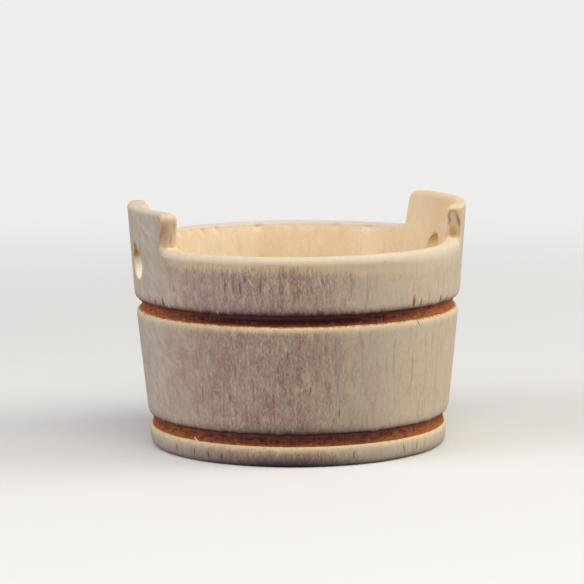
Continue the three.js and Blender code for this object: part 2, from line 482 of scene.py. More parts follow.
def sheet_up_to(drop):
    """(lateral, height) of a sheet's grid: straight lines from the columns' feet to the edge of the
    sheet."""
    end_lateral, end_height = edge_point(drop)
    lateral = stand_lateral + rise * (end_lateral - stand_lateral)
    return [lateral, sheet_foot + rise * (end_height - sheet_foot)]


sheets = {"outside": sheet_up_to(outer_round["depth"]), "inside": sheet_up_to(inner_round["depth"])}
print("two sheets of", sheets["outside"][0].shape)

# %% Cord holes in the sheets
hole_half_columns, hole_half_rows, hole_spread = 12, 5, 1.6
mouth_round, torn_lean, torn_narrowing = 0.10, 0.3, 0.8
hole_mouth = hole_radius + mouth_round
hole_level = rim_height - hole_drop
turn_x, turn_y = math.cos(hole_turn), math.sin(hole_turn)
drill_ahead = np.array([math.cos(hole_tilt) * turn_x, math.cos(hole_tilt) * turn_y, -math.sin(hole_tilt)])
drill_start = np.array([-hole_offset * turn_y, hole_offset * turn_x, hole_level])


def hole_centre(ear, radius):
    """Where the drill line crosses a round wall of the given radius on that ear's side."""
    flat, start = drill_ahead[:2], drill_start[:2]
    a, b, c = flat @ flat, flat @ start, start @ start - radius**2
    return drill_start + drill_ahead * (-b + ear * math.sqrt(b * b - a * c)) / a


def open_hole(sheet, ear, radius, lean=0.0, narrowing=1.0):
    """Pulls a block of the sheet's grid onto rings round the hole. A grid point at the square distance q
    from the block's middle, in steps of half the hole, goes to q times the hole's radius in its own
    direction, fully at q = 1 and not at all at the block's edge. A mouth left by the blunt point of the
    drill leans towards the front by that share of its height, and is narrower by that factor. Returns the
    middle column and row."""
    lateral, height = sheet
    middle, level = hole_centre(ear, radius)[1:]
    away = (lateral - middle) ** 2 + (height - level) ** 2 + np.where(edge["ear"] == ear, 0, np.inf)
    column, row = np.unravel_index(np.argmin(away), away.shape)
    reach_a, reach_b = (round(half * hole_spread) for half in (hole_half_columns, hole_half_rows))
    a, b = np.arange(-reach_a, reach_a + 1), np.arange(-reach_b, reach_b + 1)
    b = b[(b + row >= 0) & (b + row < sheet_rows)]
    block = np.ix_((column + a) % columns, row + b)
    along, upward = a[:, None] / hole_half_columns, b[None] / hole_half_rows
    square = np.maximum(np.abs(along), np.abs(upward))
    turn = np.arctan2(upward, along)
    ring_up = hole_mouth * square * np.sin(turn)
    ring_lateral = middle + ear * narrowing * hole_mouth * square * np.cos(turn) - lean * ring_up
    pull = np.clip((hole_spread - square) / (hole_spread - 1), 0, 1)
    lateral[block] += pull * (ring_lateral - lateral[block])
    height[block] += pull * (level + ring_up - height[block])
    return column, row


holes = []
for ear, inner_shape in ((1, (torn_lean, torn_narrowing)), (-1, ())):
    outer = open_hole(sheets["outside"], ear, outer_radius(hole_level))
    inner = open_hole(sheets["inside"], ear, inner_radius(hole_level), *inner_shape)
    holes.append((ear, outer, inner))
print("holes at columns", [hole[1][0] for hole in holes])

# %% [markdown]
# ## Wood in relief
#
# Turned softish wood isn't smooth. Its fibres stand up and lie down along the grain, coarsely in the bands
# where the lathe tore them and finely elsewhere. Sharp edges have small nicks, most of all the inner edge
# of the rim at the back, and the thin foot has checked in short upright cracks. A bump map would leave the
# outlines straight, so these shapes are moved into the mesh along its own normals. Loose fibres also hang
# down over both grooves, the edges under the grooves are chewed, and one splinter leans out of the foot.
# Each comes from chance values with a fixed seed, so the tub is the same every time.

# %% Chance fields on the wall
def fibre_field(angle, height, around, along, seed):
    """Smooth chance values from -1 to 1 on the unrolled wall: a lattice with `around` cells round the tub
    and one cell for every `along` mm of height, with smooth steps from each lattice value to the next."""
    levels = int(ear_top / along) + 3
    lattice = np.random.default_rng(seed).uniform(-1, 1, (around, levels))
    u, v = (angle / (2 * np.pi) % 1) * around, np.clip(height, 0, ear_top) / along
    i, j = np.floor(u).astype(int), np.floor(v).astype(int)
    f, g = smooth(u - i), smooth(v - j)
    low = lattice[i % around, j] * (1 - f) + lattice[(i + 1) % around, j] * f
    high = lattice[i % around, j + 1] * (1 - f) + lattice[(i + 1) % around, j + 1] * f
    return low * (1 - g) + high * g


def nicks(angle, count, widest, deepest, seed):
    """A sum of small notches round the tub, each deepest where it is placed by chance, falling off as a
    bell."""
    rng = np.random.default_rng(seed)
    places = rng.uniform(-np.pi, np.pi, count)
    widths = rng.uniform(0.35, 1, count) * widest / rim_radius
    depths = rng.uniform(0.1, 1, count) ** 2 * deepest
    gap = (angle[..., None] - places + np.pi) % (2 * np.pi) - np.pi
    return (depths * np.exp(-((gap / widths) ** 2))).sum(-1)


# %% Positions of the whole wall
edge_rows = 15
across_wall = -np.cos(np.linspace(0, np.pi, edge_rows))[None, 1:-1]


def around_angle(lateral, radius):
    """Angle from the ear's axis for a lateral distance on a round wall, spread evenly from the ear's reach
    to the middle of the rim by each column's share."""
    from_ear = np.arcsin(np.clip(edge["side"] * lateral / radius, -1, 1))
    return from_ear + edge["share"] * (np.pi / 2 - from_ear)


def edge_drop(round_by):
    """Drop of the edge at the share d of the way from the middle of the wall to its face: nothing up to 1
    - reach, then depth (1 - sqrt(1 - s^2)), where s goes from 0 to 1 over the reach."""
    s = np.clip((np.abs(across_wall) - 1) / round_by["reach"] + 1, 0, 1)
    return round_by["depth"] * (1 - np.sqrt(1 - s * s))


crest_drop = np.where(across_wall < 0, edge_drop(outer_round), edge_drop(inner_round))
crest_lateral, crest_height = edge_point(crest_drop)
crest_outer, crest_inner = outer_radius(crest_height), inner_radius(crest_height)
crest_radius = crest_outer + (crest_inner - crest_outer) * (1 + across_wall) / 2
out_lateral, out_height = sheets["outside"]
in_lateral, in_height = (sheet[:, ::-1] for sheet in sheets["inside"])
every = np.ones((columns, 1))
stand_out = around_angle(stand_lateral, outer_radius(sheet_foot))
stand_in = around_angle(stand_lateral, inner_radius(sheet_foot))
wall_radius = np.concatenate([
    every * outside_below[:, 0], outer_radius(out_height), crest_radius, inner_radius(in_height),
    every * inner_radius(sheet_foot), every * inside_below[:, 0],
], axis=1)
wall_height = np.concatenate([
    every * outside_below[:, 1], out_height, crest_height, in_height,
    every * sheet_foot, every * inside_below[:, 1],
], axis=1)
wall_angle = np.concatenate([
    stand_out * np.ones(len(outside_below)), around_angle(out_lateral, outer_radius(out_height)),
    around_angle(crest_lateral, crest_radius), around_angle(in_lateral, inner_radius(in_height)),
    stand_in, stand_in * np.ones(len(inside_below)),
], axis=1)
rows = wall_radius.shape[1]
crest_start = len(outside_below) + sheet_rows
inside_start = crest_start + edge_rows - 2
print(f"wall grid {columns} x {rows}, {2 * columns * rows} triangles")

# %% Zones of the wall
turned_angle = np.arctan2(edge["side"] * np.sin(wall_angle), edge["ear"] * np.cos(wall_angle))
front_angle = np.degrees((turned_angle + 1.5 * np.pi) % (2 * np.pi) - np.pi)
torn_bands = ((-16, 29, 0.75), (160, 45, 0.45), (-110, 30, 0.30))
least_torn = 0.2


def in_bands(bands):
    """A sum of bells round the tub, each given as its middle and width, in degrees from the front, and its
    height."""
    return sum(amount * np.exp(-(((front_angle - middle) / width) ** 2)) for middle, width, amount in bands)


torn_share = least_torn + in_bands(torn_bands)
coarse = least_torn + (1 - least_torn) * np.clip(torn_share, 0, 1)
points = np.stack([
    edge["ear"] * wall_radius * np.cos(wall_angle),
    edge["side"] * wall_radius * np.sin(wall_angle),
    wall_height,
], axis=-1)


def grid_normals(grid):
    """Outward normals of a closed grid: the cross product of the steps along its columns and along its
    rows."""
    along = np.roll(grid, -1, axis=0) - np.roll(grid, 1, axis=0)
    upward = np.roll(grid, -1, axis=1) - np.roll(grid, 1, axis=1)
    normal = np.cross(along, upward)
    return normal / np.maximum(np.linalg.norm(normal, axis=-1, keepdims=True), 1e-12)


def near_level(level, reach):
    """1 at a height on the wall, falling smoothly to 0 at the given reach above and below it."""
    return smooth(1 - np.abs(wall_height - level) / reach)


tiny, standing_height = 1e-6, 0.02
row_number = np.arange(rows)[None]
on_outside = row_number < crest_start
outside = smooth((inside_start - row_number) / (edge_rows - 1))
crest_rows = (row_number >= crest_start) & (row_number < inside_start)
below_edge = np.where(on_outside, crest_height[:, :1], crest_height[:, -1:]) - wall_height
below_edge = np.where(crest_rows, 0, below_edge)
in_groove = np.zeros_like(wall_height)
for bottom, top in ((lower_bottom, lower_top), (upper_bottom, upper_top)):
    level_with = (wall_height > bottom - tiny) & (wall_height < top + tiny) & on_outside
    in_groove = np.maximum(in_groove, level_with)
free = outside * (1 - in_groove) * (1 - (wall_height < standing_height))
print(f"torn share from {torn_share.min():.2f} to {torn_share.max():.2f}")

# %% Fibres, nicks and a chip
fibre_depth, fine_fibre_depth, flat_depth, edge_calm, edge_calm_reach = 0.016, 0.012, 0.03, 0.93, 0.7
fibres = fibre_depth * fibre_field(turned_angle, wall_height, 380, 3.2, 11)
fibres += fine_fibre_depth * fibre_field(turned_angle, wall_height, 190, 1.6, 12)
flats = flat_depth * fibre_field(turned_angle, wall_height, 26, 7.0, 13)
relief = free * (coarse * fibres * (1 - edge_calm * smooth(1 - below_edge / edge_calm_reach)) + flats)
lip_nicks, hollow_nicks, below_lip = (0.26, 0.12), (0.28, 0.10), 0.1
for level, reach, count, sizes, seed in (
    (upper_bottom - below_lip, 0.30, 110, lip_nicks, 21),
    (lower_bottom - below_lip, 0.28, 110, lip_nicks, 22),
    (upper_top, 0.5, 130, hollow_nicks, 23),
    (lower_top, 0.4, 110, hollow_nicks, 24),
):
    relief -= free * near_level(level, reach) * nicks(turned_angle, count, *sizes, seed)
foot_middle, foot_reach, foot_fibre_depth = 0.85, 1.0, 0.06
foot_zone = free * near_level(foot_middle, foot_reach) * coarse
relief += foot_zone * foot_fibre_depth * fibre_field(turned_angle, wall_height, 120, 4.0, 14)
relief -= foot_zone * nicks(turned_angle, 60, 0.30, 0.2, 25)
arris_rows, rear_from, rear_over, front_share = 5, 80, 30, 0.25
inner_arris = smooth(1 - np.abs(row_number - inside_start) / arris_rows) * rim_share
rear = smooth((np.abs(front_angle) - rear_from) / rear_over)
relief -= inner_arris * (front_share + (1 - front_share) * rear) * nicks(turned_angle, 80, 0.6, 0.32, 26)
chip_angle, chip_width, chip_depth = math.radians(94.8), 0.5, 0.40
chip_run = (turned_angle - chip_angle) * rim_radius / chip_width
relief -= inner_arris * chip_depth * np.exp(-(chip_run**2))
points = points + relief[..., None] * grid_normals(points)
print(f"relief from {relief.min():.3f} to {relief.max():.3f} mm")

# %% Fibres that hang into the grooves
fringe_length, fringe_reach, fringe_bare, behind_face = 0.14, 0.45, 0.1, 0.04
upper_fringe_start, lower_fringe_start = upper_foot_radius - upper_hollow_start, lower_face + behind_face
for top, start, seed in ((upper_top, upper_fringe_start, 27), (lower_top, lower_fringe_start, 28)):
    hung = (wall_radius > start - tiny) * (wall_height > top - tiny) * near_level(top, fringe_reach)
    ragged = np.clip(fibre_field(turned_angle, 0 * wall_height, 360, 3.0, seed) - fringe_bare, 0, 1)
    points[..., 2] -= fringe_length * on_outside * hung * ragged
chewed_reach = 0.24
for level, depth, seed in ((upper_bottom, 0.07, 29), (lower_bottom, 0.04, 30)):
    chewed = np.clip(fibre_field(turned_angle, 0 * wall_height, 300, 3.0, seed), 0, 1)
    points[..., 2] -= depth * near_level(level, chewed_reach) * on_outside * chewed
splinter_angle, splinter_width, splinter_lift, splinter_lean, splinter_root = -52.9, 0.14, 0.45, 0.35, 0.12
splinter = np.exp(-((np.radians(front_angle - splinter_angle) * foot_radius / splinter_width) ** 2))
splinter = splinter * near_level(lower_bottom, splinter_root)
splinter = splinter * (wall_radius > foot_radius - foot_lip) * on_outside
points[..., 2] += splinter_lift * splinter
leftwards = np.stack([np.sin(turned_angle), -np.cos(turned_angle)], axis=-1)
points[..., :2] += splinter_lean * splinter[..., None] * leftwards
points[..., 2] = np.maximum(points[..., 2], 0)
print("fringes over both grooves, chewed edges under them, and one splinter on the foot")

# %% [markdown]
# ## The wall as a mesh
#
# The grid closes on itself both ways. Its cells inside a hole's loop are left out, and the loop on the
# outside is joined to the loop on the inside by rings that narrow to the drill's radius, which rounds the
# mouth of the hole. Seven values are stored at each point for the finish: how far inside the tub it is,
# how sawn, how worn as part of an edge, how bored, how pink the wood is, how torn its fibres are, and how
# mottled it is.

# %% Mesh maker
def make_piece(name, points, faces, values=None, sharp=50):
    """Puts points, in millimetres, and faces of any size into a mesh at the origin, smooth but for sharp
    edges. Each array in values becomes an attribute of the points."""
    mesh = bpy.data.meshes.new(name)
    sizes = np.concatenate([np.full(len(group), group.shape[1]) for group in faces])
    corners = np.concatenate([group.ravel() for group in faces])
    mesh.vertices.add(len(points))
    mesh.vertices.foreach_set("co", np.ascontiguousarray(points * MM, np.float32).ravel())
    mesh.loops.add(len(corners))
    mesh.loops.foreach_set("vertex_index", corners.astype(np.int32))
    mesh.polygons.add(len(sizes))
    starts = np.concatenate([[0], np.cumsum(sizes)[:-1]])
    mesh.polygons.foreach_set("loop_start", starts.astype(np.int32))
    mesh.polygons.foreach_set("use_smooth", np.ones(len(sizes), bool))
    mesh.update(calc_edges=True)
    mesh.set_sharp_from_angle(angle=math.radians(sharp))
    for key, value in (values or {}).items():
        stored = mesh.attributes.new(key, "FLOAT", "POINT").data
        stored.foreach_set("value", np.ascontiguousarray(value, np.float32))
    made = bpy.data.objects.new(name, mesh)
    bpy.context.scene.collection.objects.link(made)
    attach(made, "root")
    print(name, len(points), "points", int((sizes - 2).sum()), "triangles")
    return made


def grid_faces(count, length, close_columns=True, close_rows=True):
    """Four-cornered faces of a grid whose point (i, j) has the number i * length + j, facing outwards when
    columns run anticlockwise and rows run upwards on the outside."""
    i = np.arange(count if close_columns else count - 1)[:, None]
    j = np.arange(length if close_rows else length - 1)[None]
    i_next, j_next = (i + 1) % count, (j + 1) % length
    corners = [i * length + j, i_next * length + j, i_next * length + j_next, i * length + j_next]
    return np.stack(corners, axis=-1)


# %% Values for the finish
# The pink bands at the front are partly painted shade, giving the shaded front wall the violet cast of bluish
# bounced light. Those at the back are the wood's own tone.
pink_bands = ((-34, 34, 0.85), (-11, 14, 0.30), (150, 30, 0.7), (-148, 26, 0.8))
mottled_bands = ((-72, 34, 0.75), (130, 25, 0.4), (-170, 50, 0.4))
calm_bands, least_mottled = ((14, 14, 0.2),), 0.15
worn_reach, faded_reach, faded_share, right_fading = 0.34, 2.1, 0.58, 0.8
faded = faded_share + right_fading * right_front * rim_share
faded = faded * outside * smooth(1 - below_edge / faded_reach)
wall_marks = {
    "inside": (1 - outside) + 0 * wall_height,
    "sawn": np.where(crest_rows, side_share, 0) + 0 * wall_height,
    "worn": np.maximum(smooth(1 - below_edge / worn_reach), faded) * (1 - side_share),
    "bored": 0 * wall_height,
    "pink": in_bands(pink_bands),
    "torn": torn_share - in_bands(calm_bands),
    "mottled": least_mottled + in_bands(mottled_bands),
}
tube_marks = {"inside": 0.5, "sawn": 0, "worn": 0, "bored": 1, "pink": 0, "torn": 0, "mottled": 0}
print({k: (round(v.min(), 2), round(v.max(), 2)) for k, v in wall_marks.items()})

# %% Wall mesh
half_c, half_r = hole_half_columns, hole_half_rows
wall_faces = grid_faces(columns, rows)
keep = np.ones((columns, rows), bool)
along_c, along_r = np.arange(-half_c, half_c), np.arange(-half_r, half_r)
end_c, end_r = np.full(2 * half_r, half_c), np.full(2 * half_c, half_r)
loop_c = np.concatenate([along_c, end_c, -along_c, -end_c])
loop_r = np.concatenate([-end_r, along_r, end_r, -along_r])
mouth_widening = 0.035
tube_steps = np.array([0.035, 0.09, 0.3, 0.5, 0.7, 0.91, 0.965])
tube_widening = mouth_widening * np.array([1, 0, 0, 0, 0, 0, 1])
inside_top = inside_start + sheet_rows - 1
flat_points = points.reshape(-1, 3)
tube_points, tube_faces = [], []
tube_first = columns * rows
for ear, (column, row), (inner_column, inner_row) in holes:
    out_row, in_row = len(outside_below) + row, inside_top - inner_row
    for middle_column, middle_row in ((column, out_row), (inner_column, in_row)):
        keep[np.ix_((middle_column + along_c) % columns, middle_row + along_r)] = False
    out_loop = (column + loop_c) % columns * rows + out_row + loop_r
    in_loop = (inner_column + loop_c) % columns * rows + in_row - loop_r
    start, finish = flat_points[out_loop], flat_points[in_loop]
    t = tube_steps[:, None, None]
    line = start.mean(0) + t * (finish.mean(0) - start.mean(0))
    ring = start + t * (finish - start)
    rings = line + (ring - line) * ((hole_radius + tube_widening) / hole_mouth)[:, None, None]
    numbers = tube_first + np.arange(rings[..., 0].size).reshape(rings.shape[:2])
    ladder = np.concatenate([out_loop[None], numbers, in_loop[None]])
    onward = np.roll(ladder, -1, axis=1)
    tube_faces.append(np.stack([ladder[:-1], onward[:-1], onward[1:], ladder[1:]], axis=-1).reshape(-1, 4))
    tube_points.append(rings.reshape(-1, 3))
    tube_first += rings[..., 0].size
wall_points = np.concatenate([flat_points] + tube_points)
tube_total = len(wall_points) - len(flat_points)
wall_values = {
    k: np.concatenate([v.ravel(), np.full(tube_total, tube_marks[k])]) for k, v in wall_marks.items()
}
wall = make_piece("turned_wall", wall_points, [wall_faces[keep]] + tube_faces, wall_values)
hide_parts("tub_wall")

# %% [markdown]
# ## The two brown strips
#
# Each strip is a thin shaving of dark wood bent into its groove, with its ends butted at the back. A curve
# with a bevel could make it, but its face isn't plain. It is hollow, and the upper strip's face comes out
# to a lip at its lower edge, which sits close to the wood below. The tool has left fine level scores on
# it, and short upright fibres cross them. So a small section is carried round the tub from one end to the
# other as a grid, and closed at both ends.

# %% Strips in the grooves
strip_columns, strip_rows = 560, 19
strip_hollow, strip_set_back, seat_gap = 0.09, 0.03, 0.01
score_spacing, score_depth, score_drift, strip_fibre_depth = 0.2, 0.008, 0.5, 0.018


def groove_strip(name, bottom, top, face, lip, seed):
    """A strip whose section is a thin upright rectangle with a hollow face, carried round from one side of
    the joint gap at the back to the other. The face goes in by hollow * 4 v (1 - v) and comes out by lip *
    (1 - v)^3, where v runs from 0 to 1 up the strip. Fine level scores and short upright fibres lie on it.
    The section's points run anticlockwise seen along the way."""
    low, high, back = bottom + seat_gap, top - hoop_clearance, face - hoop_thickness
    levels = np.linspace(low, high, strip_rows)
    half_gap = hoop_joint_gap / 2 / face
    turn = np.linspace(np.pi / 2 + half_gap, np.pi * 5 / 2 - half_gap, strip_columns)[:, None]
    v = (levels - low) / (high - low)
    all_levels = levels[None] + 0 * turn
    drift = score_drift * fibre_field(turn, all_levels, 40, 3.0, seed + 2)
    scores = score_depth * np.sin(2 * np.pi * (levels / score_spacing + drift))
    rough = strip_fibre_depth * fibre_field(turn, all_levels, 280, 0.4, seed)
    front = face - strip_set_back - strip_hollow * 4 * v * (1 - v) + lip * (1 - v) ** 3 + scores + rough
    radius = np.concatenate([front, np.full((strip_columns, 2), back)], axis=1)
    height = np.broadcast_to(np.concatenate([levels, [high, low]]), radius.shape)
    strip_points = np.stack([radius * np.cos(turn), radius * np.sin(turn), height], axis=-1)
    length = radius.shape[1]
    ends = np.arange(length)
    caps = np.stack([ends, (strip_columns - 1) * length + ends[::-1]])
    strip_sides = grid_faces(strip_columns, length, close_columns=False).reshape(-1, 4)
    made = make_piece(name, strip_points.reshape(-1, 3), [strip_sides, caps])
    return made


lower_strip = groove_strip("lower_strip", lower_bottom, lower_top, lower_face, 0.0, 31)
upper_lip = middle_top_radius - middle_lip - upper_face
upper_strip = groove_strip("upper_strip", upper_bottom, upper_top, upper_face, upper_lip, 41)
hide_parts("lower_hoop")
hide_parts("upper_hoop")

# %% [markdown]
# ## The bottom
#
# A plain disc with an eased edge, let in from below against the ledge. It is an outline carried round the
# axis, and each face closes in a fan of triangles at its middle. Fine rings on the top are the marks of
# the facing tool.

# %% Bottom disc
disc_columns, top_slack = 180, 0.01
under_ease, over_ease = 0.15, 0.04
facing_depth, facing_pitch, facing_border = 0.012, 1.1, 0.6
disc_radius = rebate_radius - bottom_clearance
disc_across, disc_up = divided(eased_outline([
    (0, bottom_recess),
    (disc_radius, bottom_recess, under_ease, under_ease),
    (disc_radius, ledge_height, over_ease, over_ease),
    (0, ledge_height),
], 5), 0.35)[1:-1].T
disc_turn = np.linspace(0, 2 * np.pi, disc_columns, endpoint=False)[:, None]
faced = np.sin(disc_across * 2 * np.pi / facing_pitch) * (disc_across < ledge_radius - facing_border)
disc_height = disc_up - facing_depth * (1 + faced) * (disc_up > ledge_height - top_slack)
disc_grid = np.stack([
    disc_across * np.cos(disc_turn), disc_across * np.sin(disc_turn), disc_height + 0 * disc_turn,
], axis=-1)
disc_rows = len(disc_height)
poles = np.array([[0, 0, bottom_recess], [0, 0, disc_height[-1]]])
first = np.arange(disc_columns) * disc_rows
second = np.roll(first, -1)
under_pole, over_pole = (np.full(disc_columns, disc_columns * disc_rows + k) for k in (0, 1))
under = np.stack([under_pole, second, first], axis=1)
over = np.stack([over_pole, first + disc_rows - 1, second + disc_rows - 1], axis=1)
disc_points = np.concatenate([disc_grid.reshape(-1, 3), poles])
disc_sides = grid_faces(disc_columns, disc_rows, close_rows=False).reshape(-1, 4)
disc = make_piece("let_in_bottom", disc_points, [disc_sides, under, over])
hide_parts("bottom_disc")

# %% [markdown]
# ## Grain
#
# The block's grain runs up the tub. A picture of wood would show where it repeats and where it is joined, so
# the grain is made of chance patterns drawn out along it: wide patches of pinker and greyer wood, a dapple of
# half a millimetre, fine grit, short fibres, long faint streaks, pale raised flecks with a painted shadow
# beside each, and thin dark pores. A mottle at a slant to the grain goes on the left of the tub. One group
# makes these patterns, and each finish mixes them in its own colours.

# %% Grain group
def new_group(name, inputs, outputs):
    """A shader node group with named inputs and outputs, and the nodes that hold them."""
    group = bpy.data.node_groups.new(name, "ShaderNodeTree")
    for label, kind in inputs:
        group.interface.new_socket(label, in_out="INPUT", socket_type=kind)
    for label in outputs:
        group.interface.new_socket(label, in_out="OUTPUT", socket_type="NodeSocketFloat")
    return group, group.nodes.new("NodeGroupInput").outputs, group.nodes.new("NodeGroupOutput").inputs


def stretched_noise(tree, spot, width, length, detail=2.0, roughness=0.5):
    """Noise with features of about width across the grain and length along it, both in millimetres."""
    fitted = reckon_vector(tree, "MULTIPLY", spot, tuple(1 / (size * MM) for size in (width, width, length)))
    noise = add_node(tree, "ShaderNodeTexNoise", Vector=fitted, Scale=1.0, Detail=detail, Roughness=roughness)
    return noise.outputs["Fac"]


def raised_fibres(tree, spot):
    """1 on sparse short fibres that stand up from the wood."""
    return between(tree, stretched_noise(tree, spot, 0.16, 0.50, 1.0), 0.62, 0.74)


mottle_slant, painted_shadow_shift = math.radians(48), (-0.14 * MM, 0.04 * MM, 0)
grain_outputs = ["Patch", "Mottle", "Dapple", "Grit", "Fibre", "Streak", "Fleck", "PaintedShadow", "Pore", "Height"]
grain_group, given, put = new_group("upright_grain", [("Spot", "NodeSocketVector")], grain_outputs)
tree, spot = grain_group, given["Spot"]
slant = add_node(tree, "ShaderNodeMapping", Vector=spot, Rotation=(mottle_slant, 0, 0)).outputs[0]
patterns = {
    "Patch": stretched_noise(tree, spot, 2.6, 6.0),
    "Mottle": stretched_noise(tree, slant, 0.62, 1.7),
    "Dapple": stretched_noise(tree, spot, 0.60, 1.7),
    "Grit": stretched_noise(tree, spot, 0.18, 0.34, 1.0),
    "Fibre": stretched_noise(tree, spot, 0.24, 0.9),
    "Streak": stretched_noise(tree, spot, 0.34, 7.0, 2.0, 0.6),
    "Fleck": raised_fibres(tree, spot),
    # The same fibres, moved a little sideways, give the painted shadow beside each raised fleck.
    "PaintedShadow": raised_fibres(tree, reckon_vector(tree, "ADD", spot, painted_shadow_shift)),
    "Pore": between(tree, stretched_noise(tree, spot, 0.20, 1.1, 1.0), 0.62, 0.78),
}
raised = 0.0
for label, weight in (("Streak", 0.5), ("Fleck", 0.7), ("Fibre", 0.8), ("Pore", -0.6)):
    raised = plus(tree, raised, times(tree, patterns[label], weight))
for label, value in {**patterns, "Height": raised}.items():
    tree.links.new(value, put[label])
print("grain group with", len(tree.nodes), "nodes")

# %% [markdown]
# ## The wall's finish
#
# Outside, the bare wood has greyed and picked up a faint pink. At the front, where the wall is in shade, the
# pink and its violet-grey patches are partly painted shade: they stand in for dim, bluish bounced light. It
# is calm in one place and torn in another, so one pattern over the whole wall would look printed. The
# patterns of the grain are mixed in where the values stored on the mesh ask for them: the slanting mottle on
# the left, the torn fibres at the front, and a little grit everywhere.

# %% Helpers for finishes
def new_look(name, gloss=0.25):
    """A material with a Principled shader for dry wood, and its tree, shader and object coordinates."""
    look = bpy.data.materials.new(name)
    look.use_nodes = True
    tree = look.node_tree
    tree.nodes.clear()
    shader = add_node(tree, "ShaderNodeBsdfPrincipled", Specular_IOR_Level=gloss)
    add_node(tree, "ShaderNodeOutputMaterial", Surface=shader.outputs[0])
    return look, tree, shader, add_node(tree, "ShaderNodeTexCoord").outputs["Object"]


def finish_look(tree, shader, tone, rough, height, strength, depth):
    """Joins the tone, the roughness, and a bump of the given strength and depth in millimetres to the
    shader."""
    bump = add_node(tree, "ShaderNodeBump", Strength=strength, Distance=depth * MM, Height=height).outputs[0]
    for source, target in ((tone, "Base Color"), (rough, "Roughness"), (bump, "Normal")):
        tree.links.new(source, shader.inputs[target])


def mark(tree, name):
    """A value stored at the points of the piece."""
    return add_node(tree, "ShaderNodeAttribute", {"attribute_name": name}).outputs["Fac"]


def tinted(tree, tone, mask, strength, shade):
    """Moves a tone towards a shade where the mask is 1, by the given strength."""
    return blend_colours(tree, times(tree, mask, strength), tone, shade)


def grain_tinted(tree, tone, grain, tints, where=None):
    """Tints a tone by patterns of the grain, one after the other. Each tint is a pattern's name, the
    values where it begins and where it is full, its strength and its shade. All are held back to the
    places where `where` is 1."""
    for name, begins, full, strength, shade in tints:
        mask = between(tree, grain[name], begins, full)
        mask = mask if where is None else times(tree, mask, where)
        tone = tinted(tree, tone, mask, strength, colour(*shade))
    return tone


def centred_noise(tree, pattern, weight, middle=0.5):
    """A chance pattern about zero, times a weight."""
    return times(tree, minus(tree, pattern, middle), weight)


# %% Helpers for single marks
def ragged_spot(tree, spot, grain_size, shift):
    """The coordinates moved about by chance, so that a mark placed on them gets a ragged outline. Sizes in
    mm."""
    noise = add_node(tree, "ShaderNodeTexNoise", Vector=spot, Scale=1 / (grain_size * MM), Detail=2.0)
    centred = reckon_vector(tree, "SUBTRACT", noise.outputs["Color"], (0.5, 0.5, 0.5))
    return reckon_vector(tree, "MULTIPLY_ADD", centred, (2 * shift * MM,) * 3, spot)


def single_mark(tree, spot, place, facing, half_width, half_length, lean=0.0):
    """1 in the middle of an oval patch on a wall that faces the given way, 0 outside it. place is in
    millimetres, and the oval leans by that many degrees, to the left at its top. The distance from its
    middle is measured along three axes, out of the wall, across the oval and along it, each in steps of
    the oval's own size."""
    outward = np.array([math.cos(facing), math.sin(facing), 0])
    sideways = np.array([-math.sin(facing), math.cos(facing), 0])
    upward = np.array([0, 0, 1])
    tilt = math.radians(lean)
    across = math.cos(tilt) * sideways + math.sin(tilt) * upward
    along = math.cos(tilt) * upward - math.sin(tilt) * sideways
    offset = reckon_vector(tree, "SUBTRACT", spot, tuple(v * MM for v in place))
    steps = {}
    for label, axis, half in (("X", outward, 1.0), ("Y", across, half_width), ("Z", along, half_length)):
        steps[label] = reckon_vector(tree, "DOT_PRODUCT", offset, tuple(axis / (half * MM)))
    local = add_node(tree, "ShaderNodeCombineXYZ", **steps).outputs[0]
    return between(tree, reckon_vector(tree, "LENGTH", local), 1.0, 0.2)


def on_wall(front_degrees, height, radius_at):
    """Place and facing of a point on the wall, from its angle to the front of the tub and its height."""
    facing = math.radians(front_degrees - 90)
    radius = radius_at(height)
    return (radius * math.cos(facing), radius * math.sin(facing), height), facing

# %% Bare wood outside
wall_look, tree, shader, spot = new_look("greyed_pale_wood")
grain = add_node(tree, "ShaderNodeGroup", {"node_tree": grain_group}, Spot=spot).outputs
axes = add_node(tree, "ShaderNodeSeparateXYZ", Vector=spot).outputs
torn, mottled, pink = mark(tree, "torn"), mark(tree, "mottled"), mark(tree, "pink")
# Pinker and greyer where the pink value is high. At the front, this is partly painted shade.
pinkness = plus(tree, pink, centred_noise(tree, grain["Patch"], 0.9))
tone = blend_colours(tree, between(tree, pinkness, -0.1, 1.1), colour(223, 206, 177), colour(188, 156, 141))
grey_violet_zone = between(tree, pink, 0.05, 0.4)
tone = grain_tinted(tree, tone, grain, [("Patch", 0.54, 0.74, 0.32, (178, 155, 158))], grey_violet_zone)
tone = grain_tinted(tree, tone, grain, [
    ("Mottle", 0.49, 0.32, 0.34, (170, 142, 136)),
    ("Mottle", 0.51, 0.68, 0.44, (238, 226, 206)),
], mottled)
tone = grain_tinted(tree, tone, grain, [
    ("Dapple", 0.47, 0.28, 0.62, (164, 122, 112)),
    ("Dapple", 0.53, 0.72, 0.58, (232, 214, 176)),
    ("Streak", 0.47, 0.30, 0.50, (156, 118, 114)),
    ("Streak", 0.54, 0.70, 0.45, (230, 208, 172)),
    ("Fibre", 0.46, 0.28, 0.40, (150, 110, 104)),
    ("Fibre", 0.54, 0.72, 0.35, (236, 220, 188)),
], torn)
